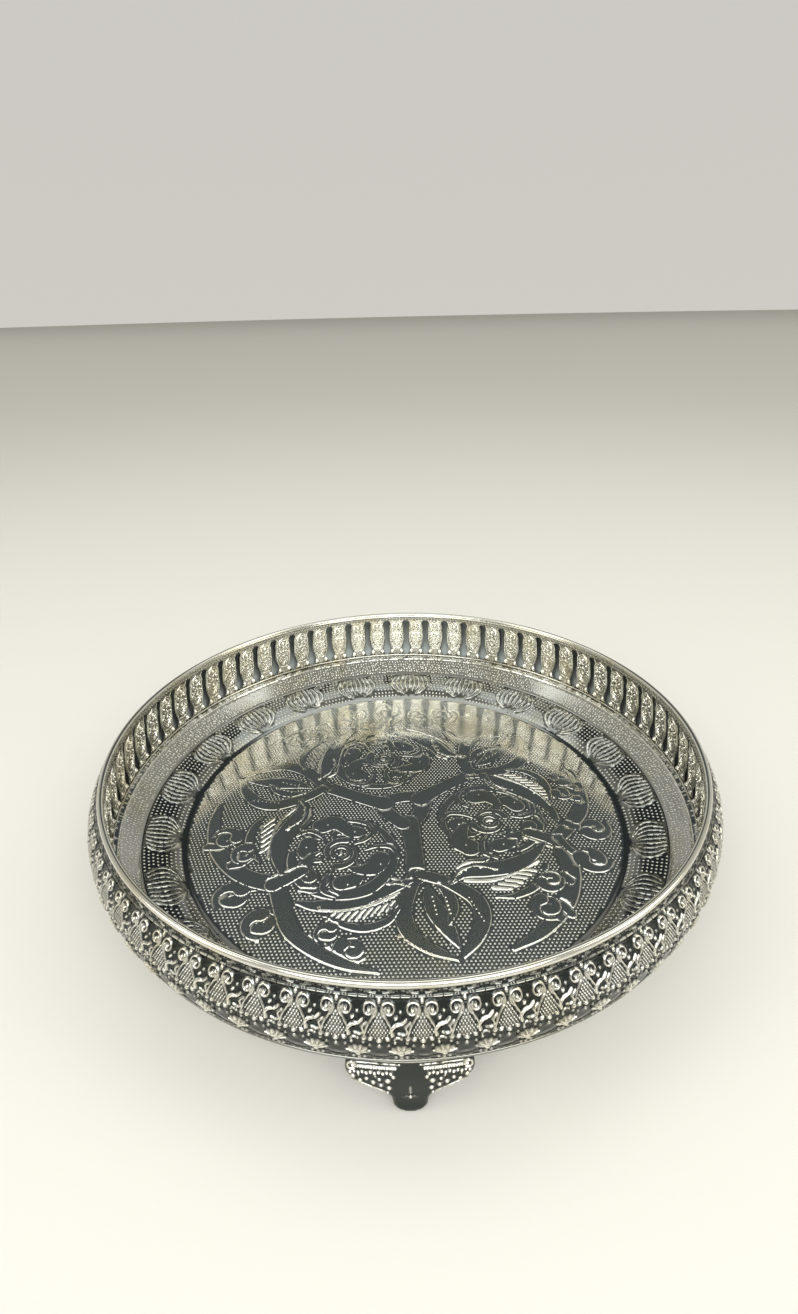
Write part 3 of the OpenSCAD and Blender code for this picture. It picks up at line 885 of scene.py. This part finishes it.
def draw_apron(m, u0):
    """One pitch of the frieze: looped volutes, a stippled drop, sprigs, a lotus and the beaded hem."""
    half = APR_PITCH / 2
    left, middle, seam = Pen(m, u0, 0.0, -1), Pen(m, u0), Pen(m, u0 + half)
    volute = zip(np.linspace(2.75, 0.95, 19), np.linspace(250, -220, 19))
    volute = [polar(r, deg, 3.3, 57.2) for r, deg in volute]
    for pen in (left, middle):
        pen.line(volute, 0.52, 0.85)
        pen.bumps((3.3, 57.1, 0.8, 1.2))
        pen.line([(1.1, 57.6), (2.4, 54.6), (4.0, 51.6), (4.9, 48.6)], 0.5, 0.7)
        pen.bumps((2.9, 47.0, 1.25, 1.05, 0.8, -25), (3.6, 62.2, 2.1, 0.45, 0.3, -14))
        pen.line([(half, 62.6), (4.6, 61.7), (1.4, 61.3)], 0.4, 0.35)
        # beads towards the neighbouring drop
        pen.bumps((5.3, 45.2, 0.85, 0.8), (5.6, 41.4, 0.75, 0.6))
    middle.bumps((0, 59.6, 1.0, 0.8, 1.3), (0, 62.3, 0.65, 0.5))
    # stippled drop
    win, x, y = m.window((u0 - 5, 45), (u0 + 5, 58))
    body = np.interp(y, DROP_Z, DROP_HALF)
    swell = 0.25 * np.sqrt(np.clip(1 - ((x - u0) / np.maximum(body, 0.05)) ** 2, 0, None))
    m.h[win] = np.maximum(m.h[win], swell * (body > 0.1))
    for j in range(9):
        z = 47.6 + 1.02 * j
        for i in range(-4, 5):
            u = (i + 0.5 * (j % 2)) * 1.16
            if abs(u) < np.interp(z, DROP_Z, DROP_HALF) - 0.25:
                middle.bumps((u, z, 0.5, 0.85 - 0.2 * (u / 4.0) ** 2))
    middle.bumps((0, 46.2, 1.35, 1.1, 0.8), (0, 43.4, 0.95, 0.9))
    # sprigs and beads between the drops
    seam.line([(-3.0, 48.6), (-3.1, 50.6), (-1.6, 52.4), (0.4, 52.9), (1.8, 54.2)], 0.68, 0.95)
    seam.line([(3.2, 53.2), (1.6, 51.6), (2.2, 50.0), (0.8, 48.8), (-0.9, 49.4)], 0.6, 0.85)
    seam.line([(-2.2, 46.6), (-1.4, 47.6), (0.2, 47.2)], 0.55, 0.75)
    seam.bumps((-1.6, 54.6, 1.1, 0.9, 0.7, 35), (2.3, 47.2, 1.15, 1.0, 1.3, -20), (-0.1, 56.4, 0.8, 0.65),
               (0.2, 46.9, 0.75, 0.7))
    # lotus
    seam.bumps((0, 40.6, 4.2, 0.5, 0.8))
    for deg in (164, 134, 105, 75, 46, 16):
        c, s = polar(1.0, deg)
        seam.line([(0.8 * c, 39.0 + 0.8 * s), (4.1 * c, 39.4 + 4.1 * s * 0.9)], 0.62, 0.75)
    seam.bumps((0, 38.4, 1.5, 1.3, 0.8), (-4.1, 43.6, 0.8, 0.7), (4.1, 43.6, 0.8, 0.7))
    # hem
    middle.bumps((0, 37.0, 3.6, 0.3, 0.9, 0.0, 2.0))
    middle.line(arc(0, 37.2, 4.2, 205, 335), 0.4, 0.45)
    for k in (-1, 0, 1):
        seam.bumps((1.9 * k, 35.0 - 0.5 * (1 - abs(k)), 0.95, 0.95))
        middle.bumps((2.4 * k, 32.0, 0.85, 0.75))
    seam.bumps((0, 31.8, 1.5, 0.8, 0.6))
    middle.line([(-half, 30.5), (half, 30.5)], 0.45, 0.35)
    middle.line([(-half, 60.5), (half, 60.5)], 0.35, 0.4)


def make_apron():
    m = module(APR_PITCH, APR_Z0, APR_Z1, draw_apron)
    ring = StampedRing(m, APR_N, APR_AT, APR_PITCH, APR_FACE, APR_THICK, 1, spacing=1.25, limit=APR_LIMIT)
    ring.mesh("apron_sheet", M_APRON, ("apron_band",))


make_apron()

# ---- rim and wires


def half_round(r_mid, radius, z_low, z_mid):
    """Anticlockwise section of a half-round strip on straight sides."""
    t = np.linspace(0, PI, 14)
    return np.r_[[r_mid, z_mid] + circle(radius, t), [[r_mid - radius, z_low], [r_mid + radius, z_low]]]


def round_wire(r, z, radius):
    return [r, z] + circle(radius, even_turns(12))


wire("rim_strip", half_round(148.5, 1.5, 61.75, 63.5), "rim_moulding", 0.05)
wire("gallery_foot_wire", round_wire(149.95, 30.75, 0.5), "gallery_base_wire", 0.02)
# the hem wire's colour is pulled towards its dark colour, a painted shade
wire("apron_hem_wire", round_wire(152.95, 29.6, 0.6), "apron_edge_wire", 0.02, 0.3)

# ---- feet

FOOT_FACE = [(154.1, 0), (154.1, 1.9), (153.7, 4.9), (153.4, 9.9), (153.3, 14.9), (153.1, 19.9),
             (152.5, 24.9), (151.9, 28.9)]
FOOT_OUT = [(0, 0), (1.9, 0.05), (4.15, 0.9), (6.03, 3.2), (6.43, 5.6), (7.24, 8.2), (9.6, 10.4),
            (13.0, 12.4), (17.9, 15.4), (21.6, 18.2), (23.0, 21.2), (23.0, 24.6), (22.0, 27.4), (19.8, 28.9)]
FOOT_THICK = 2.7
FOOT_AT = (-90, 30, 150)
FOOT_BOSSES = [(8.0, 17.9, 1.25, 1.0), (11.0, 18.6, 0.9, 0.8), (13.2, 16.9, 1.15, 0.95),
               (15.6, 18.7, 0.95, 0.8), (17.9, 17.6, 1.0, 0.85), (20.4, 19.6, 1.15, 0.9),
               (10.5, 15.4, 1.0, 0.85), (7.6, 14.0, 1.1, 0.95), (6.0, 20.0, 1.0, 0.8),
               (8.2, 11.2, 0.8, 0.7), (12.4, 20.0, 0.6, 0.5), (18.4, 20.2, 0.6, 0.5)]


def draw_foot(m):
    """Beaded wings either side of a plain tab with a small flower cut in it."""
    m.line([(-19, 28.1), (-9, 27.7), (0, 27.5), (9, 27.7), (19, 28.1)], half=0.5, rise=0.55)
    for side in (-1, 1):
        pen = Pen(m, side=side)
        pen.bumps(*[(u, 24.3 + 0.03 * (u - 4.6), 0.66, 0.95) for u in 5.2 + 0.95 * np.arange(17)])
        pen.line([(3.6, 25.9), (12, 26.3), (20.4, 26.5)], 0.36, 0.45)
        pen.line(arc(20.6, 24.6, 1.6, -120, 150, 8), 0.5, 0.7)
        pen.line([(20.8, 17.9), (17.0, 16.1), (12.4, 13.7), (9.2, 12.0)], 0.5, 0.65)
        pen.bumps(*[(6.8 + 1.45 * k, 21.6 + 0.5 * (k % 2), 0.85, 0.85, 0.75, 30) for k in range(11)])
        pen.bumps(*[(*boss, 0.86, 25 * (k % 3)) for k, boss in enumerate(FOOT_BOSSES)])
        pen.bumps((1.5, 9.0, 0.7, 0.3, 0.5, 20))
    m.line([(0, 14.6), (0, 10.6)], half=0.35, rise=0.4)
    m.bump(0, 8.8, 0.85, 0.7)


def outline_distance(points, outline):
    x, y = points.T
    return np.min([off_segment(x, y, a, b)[0] for a, b in zip(outline[:-1], outline[1:])], 0)


def inside(points, loop):
    """Which points lie within a closed loop, by the crossings of a level ray."""
    x, y = points.T
    hit = np.zeros(len(points), bool)
    for a, b in zip(loop, np.roll(loop, -1, 0)):
        run = (b[1] - a[1]) if abs(b[1] - a[1]) > 1e-12 else 1e-12
        hit ^= ((a[1] > y) != (b[1] > y)) & (x < (b[0] - a[0]) * (y - a[1]) / run + a[0])
    return hit


def foot_shape():
    """Points, triangles, normals and relief of a cast foot, its radius along +X."""
    m = Relief(-24.5, 24.5, -0.5, 29.4, 0.1)
    draw_foot(m)
    right = smooth_curve(FOOT_OUT, 0.8)
    right = right[np.r_[True, np.hypot(*np.diff(right, axis=0).T) > 0.2]]
    right[:, 1] = np.maximum(right[:, 1], 0)
    corner, head = FOOT_OUT[-1]
    top = np.c_[np.linspace(corner, -corner, 34)[1:-1], np.full(32, head)]
    loop = joined([right, top, (right[::-1] * [-1, 1])[:-1]])
    closed = np.vstack([loop, loop[:1]])
    n = len(loop)

    def keep(p, margin):
        return inside(p, loop) & (outline_distance(p, closed) > margin * 1.6)

    def filled(points):
        f = triangulate(points, [[*range(n), 0]])
        return f[inside(points[f].mean(1), loop)]

    def bent(r, u, z):
        """Points of the foot's flat drawing, bent round the tray's axis at radius r."""
        return np.stack([np.sqrt(np.clip(r ** 2 - u ** 2, 1, None)), u, z], 1)

    p = joined([loop, thin_and_fill(m, keep, 1.0)])
    d = outline_distance(p, closed)
    soft = 1.1                    # width of the rounded edge, whose normals are left to the mesh
    e = np.clip(1 - d / soft, 0, 1)
    roll = 0.75 * (1 - np.sqrt(np.clip(1 - e ** 2, 0, 1)))
    h = m.at(m.h, *p.T) * np.clip(d / 0.6, 0, 1) - roll
    face = smooth_curve([(z, r) for r, z in FOOT_FACE], 0.5)
    rad = np.interp(p[:, 1], face[:, 0], face[:, 1])
    slope = np.interp(p[:, 1], face[:, 0], np.gradient(face[:, 1], face[:, 0]))
    hu, hv = m.slopes(*p.T)
    nr = np.stack([np.ones(len(p)), p[:, 0] / rad - hu, -slope - hv], 1)
    nr[d < soft] = 0
    nr[d >= soft] /= np.linalg.norm(nr[d >= soft], axis=1)[:, None]
    base = len(p)
    i = np.arange(n)
    j = (i + 1) % n
    verts = joined([bent(rad + h, *p.T), bent(rad[:n] - FOOT_THICK, *loop.T)])
    faces = joined([filled(p), base + filled(loop)[:, ::-1], quads(i, base + i, base + j, j)])
    return verts, faces, joined([nr, np.zeros((n, 3))]), joined([h, np.full(n, -0.1)])


BORDER_RUN, BORDER_RISE = 12.4, 9.5
LUG_THICK = 2.0
SHANK_R, HEAD_R, HEAD_H = 1.25, 2.3, 0.98
RIVET_R, RIVET_SPREAD = 144.4, 5.6


def border_z(r):
    """Height of the sloping border's upper side."""
    return 20.7 + (r - 138.2) * BORDER_RISE / BORDER_RUN


def lug_shape():
    """The pad under the border that carries the foot, a bent plate with a softened inner end."""
    rows, cols = 9, 15
    verts = []
    for low in (False, True):
        for k, r in enumerate(np.linspace(139.9, 149.4, rows)):
            for t in np.arange(cols) / (cols - 1) - 0.5:
                a = 17.0 * t * (0.82 + 0.18 * min(1.0, k / 3))
                ease = 0.5 * (abs(2 * t) ** 6 + max(0, 1 - k / 1.5) ** 2)
                z = border_z(r) - SHEET - 0.02 - (LUG_THICK - min(ease, 1.0) * 0.6 if low else 0.0)
                verts.append((*polar(r, a), z))
    n = rows * cols
    i, j = np.meshgrid(np.arange(rows - 1), np.arange(cols - 1), indexing="ij")
    a = (i * cols + j).ravel()
    top = quads(a, a + cols, a + cols + 1, a + 1)
    e = np.array([*range(cols), *range(2 * cols - 1, n, cols), *range(n - 2, n - cols - 1, -1),
                  *range(n - 2 * cols, 0, -cols)])
    f = np.roll(e, -1)
    walls = [np.c_[e, f + n, f], np.c_[e, e + n, f + n]]
    return np.array(verts), joined([top, top[:, ::-1] + n, *walls])


def make_feet():
    v, f, nr, rel = foot_shape()
    lv, lf = lug_shape()
    verts, faces = joined([v, lv]), joined([f, lf + len(v)])
    normals = joined([nr, np.zeros((len(lv), 3))])
    # the relief also sets the colour: the foot's plain tab, rolled edges and back and the lug take the dark
    # recess colour, a painted shade
    relief = joined([rel, np.full(len(lv), 0.1)])
    for k, deg in enumerate(FOOT_AT):
        build(f"foot_cast_{k + 1}", turned_z(verts, deg), faces, M_FOOT,
              (f"foot_{k + 1}",), relief, turned_z(normals, deg))


def make_rivets():
    """Low round heads under each lug; the upper ends are planished flush and stippled over."""
    tilt = math.atan2(BORDER_RISE, BORDER_RUN)
    low = -(SHEET + LUG_THICK) * math.cos(tilt)
    section = [(SHANK_R, -0.3), (SHANK_R, low), (HEAD_R, low)]
    for a in np.linspace(0, PI / 2, 6)[1:-1]:
        section.append((HEAD_R * math.cos(a) ** 0.7, low - HEAD_H * math.sin(a)))
    n = 28
    rings = [np.c_[circle(r, even_turns(n)), np.full(n, z)] for r, z in section]
    verts = joined([[[0, 0, -0.3]], *rings, [[0, 0, low - HEAD_H]]])
    i = np.arange(n)
    j = (i + 1) % n
    last = len(verts) - 1
    faces = [np.c_[0 * i, 1 + i, 1 + j]]
    for a in range(1, last - n, n):
        faces.append(np.c_[a + i, a + n + i, a + n + j, a + i, a + n + j, a + j].reshape(-1, 3))
    faces.append(np.c_[last - n + j, last - n + i, np.full(n, last)])
    faces = joined(faces)
    stood = verts @ np.array(Matrix.Rotation(-tilt, 3, "Y")).T + [RIVET_R, 0, border_z(RIVET_R)]
    for k, deg in enumerate(FOOT_AT):
        pair = [turned_z(stood, deg + s * RIVET_SPREAD) for s in (-1, 1)]
        build(f"rivet_pair_{k + 1}", joined(pair), joined([faces, faces + len(verts)]),
              M_RIVET, (f"foot_rivets_{k + 1}",))


make_feet()
make_rivets()

# ---- floor of the studio


def make_stage():
    m = bpy.data.materials.new("studio_floor")
    m.use_nodes = True
    b = m.node_tree.nodes["Principled BSDF"]
    b.inputs["Base Color"].default_value = (0.60, 0.585, 0.55, 1)
    b.inputs["Roughness"].default_value = 0.75
    me = bpy.data.meshes.new("studio_floor")
    ring = circle(14.0, even_turns(96)).tolist()
    me.from_pydata([(x, y, 0.0) for x, y in ring], [], [list(range(len(ring)))])
    me.materials.append(m)
    ob = bpy.data.objects.new("studio_floor", me)
    bpy.context.scene.collection.objects.link(ob)


make_stage()
